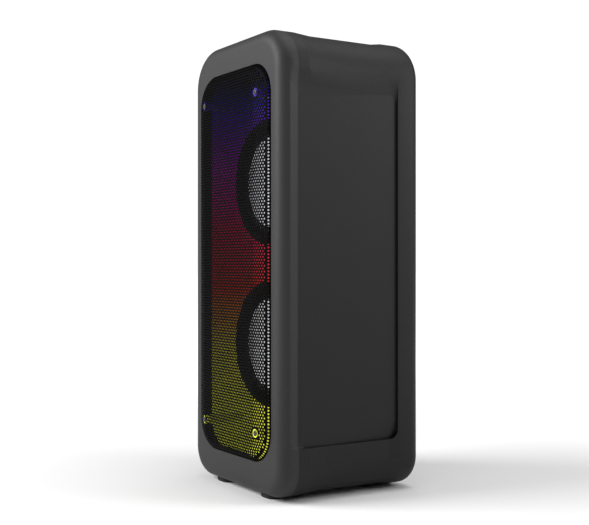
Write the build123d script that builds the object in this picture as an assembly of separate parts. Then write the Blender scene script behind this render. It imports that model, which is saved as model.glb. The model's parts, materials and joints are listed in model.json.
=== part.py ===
"""Portable party speaker: a tall moulded cabinet with a lit light tunnel behind a formed steel grille.

The speaker stands on the floor at z = 0 and faces -Y, with x = 0 on its centre plane. Sizes are in millimetres.
"Depth" is measured from the flat front of the front frame towards the back; depth_y() turns it into a y.
"Rise" is measured up from the middle of the body; rise_z() turns it into a z.
"""
from build123d import *
import os
from math import asin, cos, pi, sin

# ---- Body ----
body_width = 277.0
body_depth = 246.0
body_height = 675.0
foot_height = 5.0
outline_radius = 62.0        # top corners of the outline seen from the front
lower_radius = 45.0          # bottom corners
front_edge_radius = 20.0
rear_edge_radius = 18.0
wall = 4.5
frame_depth = 28.0           # the front frame reaches this far back
belt_dip = 2.5               # the middle of the body is this much slimmer all round
belt_start = 46.0
belt_front = 74.0
belt_rear = 188.0
belt_end = 206.0

# ---- Side recesses ----
recess_depth = 4.2
recess_mouth_front = 11.0
recess_floor_front = 30.0
recess_rear = 203.0
recess_mouth_top = 275.0     # rises
recess_floor_top = 250.0
recess_bottom = -263.0
recess_corner = 14.0
scoop_depth = 4.0            # the recess falls away by this much at its lower rear corner
scoop_height = 26.0

# ---- Grille opening and grille ----
side_margin = 29.8
end_margin = 48.0
opening_radius = 48.0
collar_wall = 3.0
collar_depth = 18.0
grille_gap = 0.5
grille_sheet = 1.2
grille_proud = 11.0
grille_shoulder = 3.0
grille_shoulder_run = 2.4
grille_bands = 4             # strips that make up the curve from the flat middle to the shoulder
grille_curve = 0.65          # share of the fall that grows with the square of the way out
grille_wing = 32.8
grille_end_slope = 14.0
grille_plateau_radius = 26.0
grille_flange = 8.0
standoff_x = 80.0
standoff_rise = 245.0
standoff_radius = 7.0
grille_screw_radius = 2.0
grille_screw_head_radius = 4.2
grille_screw_head = 2.0
grille_screw_length = 16.0
dimple_gap = 0.4             # between a screw's head and the dimple it sits in
dimple_flare = 1.5
post_gap = 0.2               # between a standoff and the sheet

# ---- Light tunnel ----
tunnel_wall = 2.5
tunnel_panel = 2.5
tunnel_gap = 0.5             # between the tunnel's rear panel and a surround
led_width = 5.0
led_thickness = 1.5
led_pitch = 24.0
led_board_width = 10.0
led_board_thickness = 1.2
led_depth = 34.0
led_end_gap = 30.0

# ---- Baffle and gasket ----
baffle_front = 63.0          # depth of its front face
baffle_thickness = 12.0
gasket_thickness = 2.0
seat_step = 5.0              # width of the ledge that carries the baffle
fit_gap = 0.3

# ---- Woofers ----
woofer_spacing = 250.0
flange_land = 8.0            # steel flange outside the surround
flange_thickness = 4.5
surround_outer = 96.0
surround_width = 16.0
surround_land = 3.5
surround_sheet = 1.0
basket_ledge = 10.0          # steel under the surround's outer part
basket_height = 62.0
basket_sheet = 2.8
basket_floor = 3.0
basket_neck = 16.0           # depth at which the flange's neck meets the sloped wall
basket_gap = 5.4             # between the basket's throat and the baffle
shelf_width = 9.0
shelf_rim = 0.5              # of the shelf outside the spider
window_count = 6
window_width = 44.0
window_height = 29.0
spider_radius = 60.0
spider_depth = 49.0
spider_sheet = 0.8
spider_rolls = 3
spider_wave = 1.4
spider_land = 6.0
cone_sheet = 1.2
cone_neck_depth = 38.0
cone_curve = 1.25            # above 1 the cone steepens towards its neck
glue = 0.2                   # between the cone and the surround, and between the coil and the spider
cone_travel = 5.0
dust_cap_radius = 30.0
dust_cap_height = 9.0
dust_cap_sheet = 0.8
coil_radius = 19.1
former_sheet = 0.4
coil_winding = 0.6
coil_clearance = 0.5
former_end = 72.0
former_lap = 4.0             # of the former inside the cone's neck
top_plate_thickness = 5.0
top_plate_radius = 47.0
magnet_radius = 50.0
magnet_inner = 25.0
magnet_height = 18.0
back_plate_thickness = 5.0
pole_vent = 5.0
woofer_screw_count = 6
woofer_screw_length = 15.0
screw_radius = 2.0
screw_head_radius = 3.4
screw_head = 2.4
screw_clearance = 0.1

# ---- Housing fasteners ----
frame_boss_radius = 5.0
frame_boss_inset = 19.0      # from the side of the body
frame_boss_rises = (-235.0, -80.0, 80.0, 235.0)
frame_screw_length = 26.0
cabinet_boss_radius = 7.5
cabinet_boss_rises = (-160.0, 0.0, 160.0)
cabinet_boss_sunk = 1.5      # how far a boss runs into the cabinet's side wall
cabinet_boss_length = 42.0
cabinet_screw_length = 50.0

# ---- Rear panel ----
rear_margin = 22.0           # from the outline of the body to the edge of the panel
rear_thickness = 4.5
rear_ledge = 9.0             # width of the ledge that carries the panel
rear_ledge_thickness = 4.0
rear_screw_inset = 4.8
rear_screw_rises = (-262.0, -131.0, 0.0, 131.0, 262.0)
rear_screw_x = 62.0          # of the screws along the top and bottom
rear_screw_radius = 1.5
rear_screw_head_radius = 2.9
rear_screw_head = 1.6
rear_screw_length = 8.0

# ---- Bass port ----
port_radius = 27.0
port_wall = 2.5
port_length = 105.0
port_flare = 10.0
port_flange_radius = 42.0

# ---- Grip ----
grip_width = 132.0
grip_height = 40.0
grip_depth = 42.0
grip_rise = 248.0
grip_undercut = 16.0
grip_wall = 3.0
grip_flange = 7.0
grip_flange_thickness = 2.4
grip_corner = 14.0

# ---- Connection panel ----
panel_width = 150.0
panel_height = 92.0
panel_rise = -205.0
panel_corner = 9.0
panel_thickness = 2.4
panel_lip = 6.0
jack_radius = 3.25
aux_radius = 1.8
jack_wall = 2.6
jack_length = 26.0
aux_length = 16.0
socket_gap = 0.2
inlet_width = 24.0
inlet_height = 16.0
inlet_length = 22.0
inlet_pin_radius = 1.2
inlet_pin_spacing = 8.6
usb_width = 14.5
usb_height = 7.2
usb_length = 18.0
board_depth_gap = 30.0       # from the panel's inner face to the main board
board_thickness = 1.6
board_extra = 40.0           # how much taller the main board is than the panel
board_raise = 14.0
socket_block = 3.0           # how much wider a jack socket's body is than its barrel
usb_sheet = 0.6
usb_tongue_width = 11.0
usb_tongue = 1.8
usb_tongue_raise = 1.1
inlet_side_wall = 2.75
inlet_end_wall = 3.0

# ---- Control panel on top ----
key_count = 7
key_pitch = 19.0
key_radius = 7.0
key_gap = 0.25
key_stand = 1.2              # how far a key stands above the panel
key_travel = 1.0
key_rim = 1.0
key_rim_thickness = 1.2
key_stem_radius = 2.5
key_stem_length = 2.6
key_slack = 0.15             # between a key's rim and the panel
key_edge_radius = 0.9
control_width = 150.0
control_depth = 56.0
control_corner = 12.0
control_thickness = 2.6
control_lip = 5.0
control_centre = 128.0       # depth of its centre line
switch_height = 3.0
switch_width = 6.0
switch_plunger_radius = 1.7
switch_slack = 0.1           # left between a pressed key and its switch
control_post_radius = 2.5
control_post_inset = 6.0

# ---- Power ----
battery_size = (112.0, 52.0, 64.0)
battery_corner = 5.0
battery_rear_gap = 36.0
battery_gap = 0.3
bracket_sheet = 1.5
bracket_width = 22.0
bracket_foot = 16.0
sink_fins = 8
sink_size = (72.0, 26.0, 50.0)
sink_base = 4.0
sink_fin = 2.0
sink_raise = 28.0            # of the sink above the middle of the connection panel
capacitor_x = 46.0
capacitor_cans = ((9.0, 24.0, 38.0), (6.0, 16.0, 14.0))  # radius, length and height above the panel's middle

# ---- Feet ----
foot_width = 36.0
foot_length = 62.0
foot_side_inset = 52.0
foot_end_inset = 12.0
foot_sunk = 3.0              # each foot is let into the body by this much
foot_corner = 12.0

# ---- Places worked out from the sizes above ----
front_y = grille_proud - (body_depth + grille_proud) / 2
rear_y = front_y + body_depth
body_mid_z = foot_height + body_height / 2
opening_width = body_width - 2 * side_margin
opening_height = body_height - 2 * end_margin
front_cavity_width = body_width - 2 * (recess_depth + wall)
front_cavity_height = body_height - 2 * (belt_dip + wall)
front_cavity_radius = outline_radius - recess_depth - wall
rear_cavity_width = front_cavity_width - 2 * seat_step
rear_cavity_height = front_cavity_height - 2 * seat_step
rear_cavity_radius = front_cavity_radius - seat_step
flange_front = baffle_front - flange_thickness
tunnel_back = flange_front
baffle_back = baffle_front + baffle_thickness
seat_depth = baffle_back + gasket_thickness
inner_rear = body_depth - rear_thickness
ledge_depth = inner_rear - rear_ledge_thickness
rear_width = body_width - 2 * rear_margin
rear_height = body_height - 2 * rear_margin
rear_radius = outline_radius - rear_margin
woofer_rises = {"upper": woofer_spacing / 2, "lower": -woofer_spacing / 2}
flange_radius = surround_outer + flange_land
surround_inner = surround_outer - surround_width
basket_throat = surround_outer - basket_ledge
screw_circle = (flange_radius + surround_outer) / 2 + 0.6
frame_boss_x = body_width / 2 - frame_boss_inset
cabinet_boss_x = rear_cavity_width / 2 + cabinet_boss_sunk - cabinet_boss_radius
cabinet_screw_depth = seat_depth + cabinet_boss_length
top_z = foot_height + body_height - belt_dip
key_names = ("power", "pair", "volume_down", "play", "volume_up", "light", "bass")


def depth_y(depth):
    return front_y + depth


def rise_z(rise):
    return body_mid_z + rise


def front_plane(depth, rise=0.0, x=0.0):
    """A sketch plane facing the front: its x is the model's x and its y is the model's z."""
    return Plane(origin=(x, depth_y(depth), rise_z(rise)), x_dir=(1, 0, 0), z_dir=(0, -1, 0))


def slab(sketch, start, end, rise=0.0, x=0.0):
    """A sketch seen from the front, made solid from one depth to another."""
    return extrude(front_plane(start, rise, x) * sketch, amount=start - end)


def turned(points, depth=0.0, rise=0.0, x=0.0):
    """A closed outline of (radius, depth) points turned about an axis that runs front to back."""
    return Pos(x, depth_y(depth), rise_z(rise)) * revolve(make_face(Polyline(*points, close=True)), Axis.Y)


def rod(radius, start, end, rise=0.0, x=0.0):
    return slab(Circle(radius), start, end, rise, x)


def on_circle(count, radius, first=0.0):
    """(x, rise) places spaced evenly on a circle."""
    return [
        (radius * sin(2 * pi * (i + first) / count), radius * cos(2 * pi * (i + first) / count))
        for i in range(count)
    ]


def countersunk_screw(radius, head_radius, head, length, start, rise, x, way=1):
    """A flat-headed screw with its head flush at the start depth, pointing back, or forwards where way is -1."""
    points = [(0, 0), (head_radius, 0), (radius, way * head), (radius, way * length), (0, way * length)]
    return turned(points, start, rise, x)


def front_edges(part):
    return part.faces().sort_by(Axis.Y)[0].outer_wire().edges()


def rear_edges(part):
    return part.faces().sort_by(Axis.Y)[-1].outer_wire().edges()


# ---- Body form: shared by the front frame and the cabinet ----
def outline(shrink=0.0):
    """The body seen from the front, its top corners rounder than its bottom ones."""
    face = Rectangle(body_width - 2 * shrink, body_height - 2 * shrink)
    face = fillet(face.vertices().group_by(Axis.Y)[-1], outline_radius - shrink)
    return fillet(face.vertices().group_by(Axis.Y)[0], lower_radius - shrink)


def belt_slope(start, end, start_shrink, end_shrink):
    faces = [front_plane(start) * outline(start_shrink), front_plane(end) * outline(end_shrink)]
    return loft(Sketch() + faces, ruled=True)


def side_recess(side):
    """A tray-shaped cut in one side: sloped at the front and top, square at the rear and bottom."""
    outside = 2.0
    slope_y = (recess_floor_front - recess_mouth_front) / recess_depth
    slope_z = (recess_mouth_top - recess_floor_top) / recess_depth
    faces = []
    for level in (-outside, recess_depth):
        low_y = depth_y(recess_mouth_front + slope_y * level)
        high_y = depth_y(recess_rear)
        low_z = rise_z(recess_bottom)
        high_z = rise_z(recess_mouth_top - slope_z * level)
        plane = Plane(
            origin=(side * (body_width / 2 - level), (low_y + high_y) / 2, (low_z + high_z) / 2),
            x_dir=(0, 1, 0),
            z_dir=(1, 0, 0),
        )
        faces.append(plane * RectangleRounded(high_y - low_y, high_z - low_z, recess_corner))
    return loft(Sketch() + faces, ruled=True)


def side_scoop(side):
    """The lower end of the recess floor, which falls away towards its rear corner."""
    ends = []
    floor_x = body_width / 2 - recess_depth
    for depth, fall in ((recess_rear, scoop_depth), (recess_floor_front + recess_corner, 0.05)):
        plane = Plane(origin=(0, depth_y(depth), rise_z(recess_bottom)), x_dir=(1, 0, 0), z_dir=(0, -1, 0))
        corners = [(floor_x + 1, 0), (floor_x - fall, 0), (floor_x, scoop_height), (floor_x + 1, scoop_height)]
        ends.append(plane * make_face(Polyline(*[(side * a, b) for a, b in corners], close=True)))
    return loft(Sketch() + ends, ruled=True)


def body_form():
    front = fillet(front_edges(slab(outline(), 0, belt_start)), front_edge_radius)
    rear = fillet(rear_edges(slab(outline(), belt_end, body_depth)), rear_edge_radius)
    form = front + belt_slope(belt_start, belt_front, 0, belt_dip)
    form += slab(outline(belt_dip), belt_front, belt_rear)
    form += belt_slope(belt_rear, belt_end, belt_dip, 0)
    form += rear
    for side in (1, -1):
        form -= side_recess(side)
        form -= side_scoop(side)
    return form


def half_space(start, end):
    margin = 20.0
    return slab(Rectangle(body_width + margin, body_height + margin), start, end)


def front_cavity(start, end, shrink=0.0):
    size = RectangleRounded(
        front_cavity_width - 2 * shrink, front_cavity_height - 2 * shrink, front_cavity_radius - shrink
    )
    return slab(size, start, end)


def opening(shrink=0.0):
    return RectangleRounded(opening_width - 2 * shrink, opening_height - 2 * shrink, opening_radius - shrink)


# ---- Front frame ----
def front_frame(form):
    """The moulded surround: a rounded face, a collar that holds the grille, and bosses for the baffle screws."""
    frame = form & half_space(-1, frame_depth)
    cavity = fillet(front_edges(front_cavity(wall, frame_depth)), front_edge_radius - wall)
    frame -= cavity
    frame += slab(opening(-collar_wall), wall - 1, collar_depth)
    for rise in frame_boss_rises:
        for side in (1, -1):
            frame += rod(frame_boss_radius, wall - 1, baffle_front, rise, side * frame_boss_x)
            frame -= rod(screw_radius + screw_clearance, frame_depth, baffle_front, rise, side * frame_boss_x)
    for pocket in foot_blanks(fit_gap, foot_sunk):
        frame -= pocket
    return frame - slab(opening(), -1, collar_depth)


# ---- Cabinet ----
def cabinet(form):
    """The deep tub behind the front frame, stepped inside to seat the baffle and rebated to take the rear panel."""
    shell = form & half_space(frame_depth, body_depth + 1)
    shell -= front_cavity(frame_depth, seat_depth)
    deep = slab(RectangleRounded(rear_cavity_width, rear_cavity_height, rear_cavity_radius), seat_depth, ledge_depth)
    shell -= fillet(rear_edges(deep), rear_edge_radius - wall)
    for x, rise in cabinet_boss_places():
        shell += rod(cabinet_boss_radius, seat_depth, cabinet_screw_depth, rise, x)
        shell -= rod(screw_radius + screw_clearance, seat_depth, cabinet_screw_depth, rise, x)
    shell -= slab(rear_outline(fit_gap), inner_rear, body_depth + 1)
    shell -= slab(rear_outline(-rear_ledge), ledge_depth - rear_edge_radius, inner_rear + 1)
    for x, rise in rear_screw_places():
        shell -= rod(rear_screw_radius + screw_clearance, ledge_depth - 1, inner_rear + 1, rise, x)
    shell -= control_seat()
    for pocket in foot_blanks(fit_gap, foot_sunk):
        shell -= pocket
    return shell


def cabinet_boss_places():
    return [(side * cabinet_boss_x, rise) for rise in cabinet_boss_rises for side in (1, -1)]


# ---- Rear panel ----
def rear_outline(grow=0.0):
    return RectangleRounded(rear_width + 2 * grow, rear_height + 2 * grow, rear_radius + grow)


def rear_screw_places():
    """(x, rise) of the screws round the edge of the rear panel."""
    side_x = rear_width / 2 - rear_screw_inset
    end_rise = rear_height / 2 - rear_screw_inset
    sides = [(side * side_x, rise) for rise in rear_screw_rises for side in (1, -1)]
    ends = [(side * rear_screw_x, end * end_rise) for end in (1, -1) for side in (1, -1)]
    return sides + ends


def rear_panel():
    """The flat back, with seats for the grip, the bass port and the connection panel."""
    panel = slab(rear_outline(), inner_rear, body_depth)
    panel -= port_seat()
    panel -= grip_seat()
    panel -= connection_seat()
    clear = rear_screw_radius + screw_clearance
    for x, rise in rear_screw_places():
        hole = [(0, 1), (rear_screw_head_radius + screw_clearance, 1), (rear_screw_head_radius + screw_clearance, 0)]
        hole += [(clear, -rear_screw_head), (clear, -rear_thickness - 1), (0, -rear_thickness - 1)]
        panel -= turned(hole, body_depth, rise, x)
    return panel


def rear_screws():
    points = (rear_screw_radius, rear_screw_head_radius, rear_screw_head, rear_screw_length)
    screws = [countersunk_screw(*points, body_depth, rise, x, -1) for x, rise in rear_screw_places()]
    return Part() + screws


def port_seat():
    seat = rod(port_flange_radius + fit_gap, body_depth - port_wall, body_depth + 1)
    return seat + rod(port_radius + port_flare + fit_gap, inner_rear - 1, body_depth)


def grip_seat():
    seat = slab(grip_outline(grip_flange + fit_gap), body_depth - grip_flange_thickness, body_depth + 1, grip_rise)
    cup = slab(grip_outline(grip_wall + fit_gap), inner_rear - 1, body_depth, grip_rise)
    return seat + cup


def connection_seat():
    outer = RectangleRounded(panel_width + 2 * fit_gap, panel_height + 2 * fit_gap, panel_corner)
    inner = RectangleRounded(panel_width - 2 * panel_lip, panel_height - 2 * panel_lip, panel_corner)
    seat = slab(outer, body_depth - panel_thickness, body_depth + 1, panel_rise)
    return seat + slab(inner, inner_rear - 1, body_depth, panel_rise)


def top_plate(width, length, corner, low_z, high_z):
    """A rounded plate seen from above, centred under the control panel."""
    face = Pos(0, depth_y(control_centre), low_z) * RectangleRounded(width, length, corner)
    return extrude(face, amount=high_z - low_z)


def control_seat():
    pocket = top_plate(
        control_width + 2 * fit_gap, control_depth + 2 * fit_gap, control_corner, top_z - control_thickness, top_z + 4
    )
    window = top_plate(
        control_width - 2 * control_lip, control_depth - 2 * control_lip, control_corner - control_lip + 1,
        rise_z(rear_cavity_height / 2) - 1, top_z,
    )
    return pocket + window


# ---- Feet ----
def foot_blanks(grow, high):
    """Four rounded blocks, from the floor or below it up to a level inside the body's underside."""
    blanks = []
    for side in (-1, 1):
        for end in (-1, 1):
            x = side * (body_width / 2 - foot_side_inset - foot_width / 2)
            y = end * (body_depth / 2 - foot_end_inset - foot_length / 2) + (front_y + rear_y) / 2
            face = RectangleRounded(foot_width + 2 * grow, foot_length + 2 * grow, foot_corner + grow)
            low = foot_height - 1 if grow else 0
            blanks.append(Pos(x, y, low) * extrude(face, amount=foot_height + belt_dip + high - low))
    return blanks


def feet():
    names = ("foot_front_left", "foot_rear_left", "foot_front_right", "foot_rear_right")
    made = {}
    for name, blank in zip(names, foot_blanks(0, foot_sunk)):
        tread = blank.faces().sort_by(Axis.Z)[0].edges()
        made[name] = chamfer(tread, 1.5)
    return made


# ---- Grille ----
def grille_form(offset):
    """The formed sheet as a solid block, its outside face moved inwards by offset."""
    block = slab(opening(grille_gap + offset), 0, grille_flange)
    rings = [front_plane(0) * opening(grille_gap + offset)]
    rings += [grille_ring(1 - band / grille_bands, offset) for band in range(grille_bands + 1)]
    for outer, inner in zip(rings, rings[1:]):
        block += loft(Sketch() + [outer, inner], ruled=True)
    return block


def grille_ring(way, offset):
    """The outline of the sheet from the edge of its flat middle, where way is 0, to its shoulder, where it is 1."""
    shoulder = grille_gap + grille_shoulder_run
    side = grille_wing + way * (shoulder - grille_wing) + offset
    end = grille_end_slope + way * (shoulder - grille_end_slope) + offset
    radius = grille_plateau_radius + way * (opening_radius - shoulder - grille_plateau_radius) - offset
    fall = (grille_proud - grille_shoulder) * ((1 - grille_curve) * way + grille_curve * way ** 2)
    face = RectangleRounded(opening_width - 2 * side, opening_height - 2 * end, radius)
    return front_plane(fall - grille_proud + offset) * face


def dimples(grow=0.0):
    """The hollows that the screw heads sit in, or the same grown all round for the sheet's other face."""
    floor_radius = grille_screw_head_radius + dimple_gap + grow
    mouth_radius = floor_radius + dimple_flare
    floor = grille_screw_head + grow
    points = [(0, -1), (mouth_radius, -1), (mouth_radius, 0), (floor_radius, floor), (0, floor)]
    return Part() + [turned(points, -grille_proud, rise, x) for x, rise in standoff_places()]


def grille():
    """Steel sheet formed into a shallow pillow with a return flange; its fine perforation isn't cut here."""
    inside = grille_form(grille_sheet) - dimples(grille_sheet)
    sheet = grille_form(0) - dimples() - inside - slab(opening(grille_gap + grille_sheet), 0, grille_flange)
    for x, rise in standoff_places():
        sheet -= rod(grille_screw_radius + screw_clearance, -grille_proud, 0, rise, x)
    return sheet


def standoff_places():
    return [(side * standoff_x, end * standoff_rise) for side in (1, -1) for end in (1, -1)]


def grille_standoffs():
    """Clear posts between the tunnel's rear panel and the grille, one near each corner."""
    end = tunnel_back - tunnel_panel
    under_sheet = grille_form(grille_sheet + post_gap) + slab(opening(collar_wall), 0, end)
    under_sheet -= dimples(grille_sheet + post_gap)
    posts = Part()
    for x, rise in standoff_places():
        post = rod(standoff_radius, -grille_proud, end, rise, x) & under_sheet
        bore_end = grille_screw_head - grille_proud + grille_screw_length + 1
        posts += post - rod(grille_screw_radius + screw_clearance, -grille_proud, bore_end, rise, x)
    return posts


def grille_screws():
    """Round-headed screws with their heads down in the grille's dimples."""
    head, seat = -grille_proud, grille_screw_head - grille_proud
    points = [
        (0, head), (grille_screw_head_radius * 0.7, head), (grille_screw_head_radius, head + 0.8),
        (grille_screw_head_radius, seat), (grille_screw_radius, seat),
        (grille_screw_radius, seat + grille_screw_length), (0, seat + grille_screw_length),
    ]
    return Part() + [turned(points, 0, rise, x) for x, rise in standoff_places()]


# ---- Light tunnel ----
def light_tunnel():
    """A translucent tray between the frame's collar and the woofers, with a window for each cone."""
    walls = slab(opening(-tunnel_wall), collar_depth, tunnel_back)
    walls -= slab(opening(), collar_depth - 1, tunnel_back - tunnel_panel)
    for rise in woofer_rises.values():
        walls -= rod(surround_outer + tunnel_gap, tunnel_back - tunnel_panel - 1, tunnel_back + 1, rise)
    return walls


def led_strip(side):
    """A narrow board along the outside of the tunnel with its lamps against the tunnel's wall."""
    wall_x = opening_width / 2 + tunnel_wall
    length = opening_height - 2 * opening_radius - 2 * led_end_gap
    board_x = wall_x + led_thickness + led_board_thickness / 2
    strip = Pos(side * board_x, depth_y(led_depth), body_mid_z) * Box(led_board_thickness, led_board_width, length)
    count = int(length // led_pitch)
    for i in range(count):
        z = body_mid_z + (i - (count - 1) / 2) * led_pitch
        lamp = Box(led_thickness, led_width, led_width)
        strip += Pos(side * (wall_x + led_thickness / 2), depth_y(led_depth), z) * lamp
    return strip


# ---- Baffle ----
def baffle():
    board = front_cavity(baffle_front, baffle_back, fit_gap)
    for rise in woofer_rises.values():
        board -= rod(basket_throat + basket_sheet + basket_gap, baffle_front - 1, baffle_back + 1, rise)
        for x, up in on_circle(woofer_screw_count, screw_circle, 0.5):
            board -= rod(screw_radius + screw_clearance, baffle_front - 1, baffle_back + 1, rise + up, x)
    for rise in frame_boss_rises:
        for side in (1, -1):
            board -= rod(screw_radius + screw_clearance, baffle_front - 1, baffle_back + 1, rise, side * frame_boss_x)
    for x, rise in cabinet_boss_places():
        board -= rod(screw_radius + screw_clearance, baffle_front + 2, baffle_back + 1, rise, x)
    return board


def baffle_gasket():
    ring = front_cavity(baffle_back, seat_depth, fit_gap)
    inner = RectangleRounded(rear_cavity_width, rear_cavity_height, rear_cavity_radius)
    ring -= slab(inner, baffle_back - 1, seat_depth + 1)
    for x, rise in cabinet_boss_places():
        pad = rod(cabinet_boss_radius, baffle_back, seat_depth, rise, x) & front_cavity(baffle_back, seat_depth, fit_gap)
        ring += pad
        ring -= rod(screw_radius + screw_clearance, baffle_back - 1, seat_depth + 1, rise, x)
    return ring


# ---- Woofers ----
def basket(rise):
    """Pressed steel frame: flange, sloped wall with six windows, spider shelf and a floor for the magnet."""
    throat = basket_throat + basket_sheet
    shelf = spider_radius + shelf_rim
    floor = basket_height - basket_floor
    shelf_inner = shelf - shelf_width
    outer_foot = shelf - 4.0
    points = [
        (basket_throat, 0), (flange_radius, 0), (flange_radius, flange_thickness),
        (throat + 4, flange_thickness), (throat + 2, basket_neck), (outer_foot, basket_height - 4),
        (outer_foot, basket_height), (magnet_inner + 4, basket_height), (magnet_inner + 4, floor),
        (shelf_inner, floor), (shelf_inner, spider_depth), (shelf, spider_depth),
        (throat - 0.6, basket_neck - 1), (throat - 0.6, 3), (basket_throat, 3),
    ]
    frame = turned(points, flange_front, rise)
    window_depth = flange_front + (basket_neck + spider_depth) / 2
    for i in range(window_count):
        cut = Pos((throat + shelf) / 2, 0, 0) * Box(2 * (throat - shelf), window_height, window_width)
        frame -= Pos(0, depth_y(window_depth), rise_z(rise)) * Rot(0, 360 * i / window_count, 0) * cut
    for x, up in on_circle(woofer_screw_count, screw_circle, 0.5):
        hole = [
            (0, -0.5), (screw_head_radius + 0.5 + screw_clearance, -0.5),
            (screw_radius + screw_clearance, screw_head), (screw_radius + screw_clearance, flange_thickness + 1),
            (0, flange_thickness + 1),
        ]
        frame -= turned(hole, flange_front, rise + up, x)
    return frame


def surround(rise):
    """Half-roll rubber edge with a land on the flange and one on the cone."""
    middle = (surround_outer + surround_inner) / 2
    roll = (surround_outer - surround_inner) / 2 - surround_land / 2
    sheet = surround_sheet
    with_roll = [
        Line((surround_outer, 0), (surround_outer, -sheet)),
        Line((surround_outer, -sheet), (middle + roll, -sheet)),
        ThreePointArc((middle + roll, -sheet), (middle, -roll - sheet), (middle - roll, -sheet)),
        Line((middle - roll, -sheet), (surround_inner - surround_land, -sheet)),
        Line((surround_inner - surround_land, -sheet), (surround_inner - surround_land, 0)),
        Line((surround_inner - surround_land, 0), (middle - roll + sheet, 0)),
        ThreePointArc((middle - roll + sheet, 0), (middle, -roll), (middle + roll - sheet, 0)),
        Line((middle + roll - sheet, 0), (surround_outer, 0)),
    ]
    profile = make_face(Curve() + with_roll)
    return Pos(0, depth_y(flange_front), rise_z(rise)) * revolve(profile, Axis.Y)


def cone_depth(radius):
    """Depth of the cone's front face behind the flange, deepening faster towards the neck."""
    share = (surround_inner - radius) / (surround_inner - coil_radius)
    return glue + cone_neck_depth * share ** cone_curve


def cone(rise):
    steps = 8
    radii = [surround_inner + (coil_radius - surround_inner) * i / steps for i in range(steps + 1)]
    front = [(r, cone_depth(r)) for r in radii]
    face = Spline(*front)
    back = Spline(*[(r, d + cone_sheet) for r, d in reversed(front)])
    profile = make_face(Curve() + [face, Line(face @ 1, back @ 0), back, Line(back @ 1, face @ 0)])
    return Pos(0, depth_y(flange_front), rise_z(rise)) * revolve(profile, Axis.Y)


def dust_cap(rise):
    """A dome of even thickness, part of a sphere, whose rim sits on the cone."""
    base = cone_depth(dust_cap_radius) - dust_cap_sheet / 2
    ball = (dust_cap_radius ** 2 + dust_cap_height ** 2) / (2 * dust_cap_height)
    sweep = asin(dust_cap_radius / ball)
    centre = base - dust_cap_height + ball

    def on_ball(radius, angle):
        return radius * sin(angle), centre - radius * cos(angle)

    inner = ball - dust_cap_sheet
    dome = [
        ThreePointArc(on_ball(ball, 0), on_ball(ball, sweep / 2), on_ball(ball, sweep)),
        Line(on_ball(ball, sweep), on_ball(inner, sweep)),
        ThreePointArc(on_ball(inner, sweep), on_ball(inner, sweep / 2), on_ball(inner, 0)),
        Line(on_ball(inner, 0), on_ball(ball, 0)),
    ]
    return Pos(0, depth_y(flange_front), rise_z(rise)) * revolve(make_face(Curve() + dome), Axis.Y)


def voice_coil(rise):
    inner = coil_radius - former_sheet
    outer = coil_radius - 0.05
    neck = cone_neck_depth - former_lap
    winding_start = basket_height - 2
    winding_end = basket_height + top_plate_thickness + 3
    points = [
        (inner, neck), (outer, neck), (outer, winding_start),
        (coil_radius + coil_winding, winding_start), (coil_radius + coil_winding, winding_end),
        (outer, winding_end), (outer, former_end), (inner, former_end),
    ]
    return turned(points, flange_front, rise)


def spider(rise):
    """Corrugated cloth disc between the voice coil and the basket's shelf."""
    inner = coil_radius + glue
    land = spider_radius - spider_land
    back, front = spider_depth, spider_depth - spider_sheet
    span = (land - inner) / (2 * spider_rolls)
    ridge = [(spider_radius, front), (land, front)]
    for i in range(1, 2 * spider_rolls):
        wave = spider_wave if i % 2 else -spider_wave
        ridge.append((land - i * span, front - wave))
    ridge.append((inner, front))
    under = [(r, d + spider_sheet) for r, d in reversed(ridge)]
    return turned(ridge + under, flange_front, rise)


def top_plate_ring(rise):
    inner = coil_radius + coil_winding + coil_clearance
    points = [
        (inner, basket_height), (top_plate_radius, basket_height),
        (top_plate_radius, basket_height + top_plate_thickness), (inner, basket_height + top_plate_thickness),
    ]
    return turned(points, flange_front, rise)


def magnet(rise):
    start = basket_height + top_plate_thickness
    points = [
        (magnet_inner, start), (magnet_radius, start),
        (magnet_radius, start + magnet_height), (magnet_inner, start + magnet_height),
    ]
    return turned(points, flange_front, rise)


def yoke(rise):
    """Back plate and pole piece in one, with a vent through the middle."""
    pole = coil_radius - former_sheet - coil_clearance
    plate = basket_height + top_plate_thickness + magnet_height
    end = plate + back_plate_thickness
    points = [
        (pole_vent, basket_height), (pole - 1, basket_height), (pole, basket_height + 1), (pole, plate),
        (top_plate_radius, plate), (top_plate_radius, end - 1.5), (top_plate_radius - 1.5, end), (pole_vent, end),
    ]
    return turned(points, flange_front, rise)


def woofer_screws(rise):
    screws = Part()
    for x, up in on_circle(woofer_screw_count, screw_circle, 0.5):
        sizes = (screw_radius, screw_head_radius, screw_head, woofer_screw_length)
        screws += countersunk_screw(*sizes, flange_front, rise + up, x)
    return screws


def woofer(name):
    rise = woofer_rises[name]
    pieces = {
        "basket": basket, "surround": surround, "cone": cone, "dust_cap": dust_cap, "voice_coil": voice_coil,
        "spider": spider, "front_plate": top_plate_ring, "magnet": magnet, "pole_yoke": yoke,
        "screws": woofer_screws,
    }
    return {f"{name}_woofer_{piece}": make(rise) for piece, make in pieces.items()}


# ---- Housing screws ----
def frame_screws():
    """Screws from behind the baffle into the front frame's bosses."""
    screws = Part()
    for rise in frame_boss_rises:
        for side in (1, -1):
            x = side * frame_boss_x
            shank = rod(screw_radius, baffle_back - frame_screw_length, baffle_back, rise, x)
            screws += shank + rod(screw_head_radius, baffle_back, baffle_back + screw_head, rise, x)
    return screws


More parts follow.
